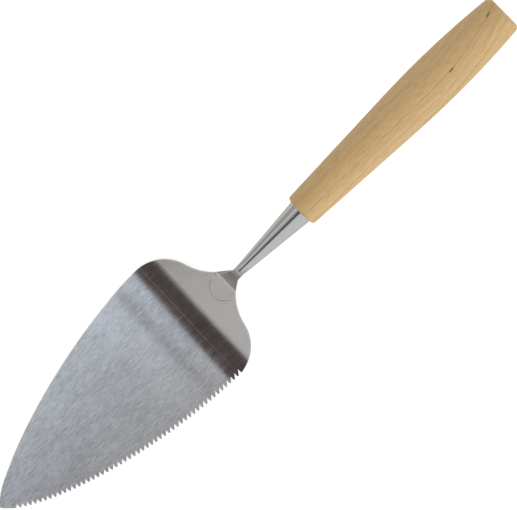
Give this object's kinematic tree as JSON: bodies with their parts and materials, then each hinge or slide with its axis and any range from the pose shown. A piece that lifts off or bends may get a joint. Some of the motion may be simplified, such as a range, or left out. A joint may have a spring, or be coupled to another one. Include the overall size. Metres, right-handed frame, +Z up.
{
  "type": "serrated cake server",
  "caption": "Flat leaf-shaped steel cake server blade, serrated along one side, on a rolled steel neck with a turned wooden handle.",
  "frame": {"origin": "under the middle of the whole object, on the plane of the blade's flat underside", "axes": "+X along the blade towards the end of the handle, +Y across the blade away from the teeth, +Z up from the blade"},
  "size_m": [0.2678, 0.0562, 0.0408],
  "materials": {
    "blade_steel": "lengthwise brushed",
    "neck_steel": "satin",
    "inner_steel": "plain mill finish",
    "adhesive": "cured two-part adhesive",
    "handle_wood": "fine sanded pale maple, lightly oiled"
  },
  "bodies": {
    "root": {"blade": "blade_steel", "neck": "neck_steel", "neck_plug": "inner_steel", "tang": "inner_steel", "tang_adhesive": "adhesive", "handle": "handle_wood"}
  },
  "joints": []
}
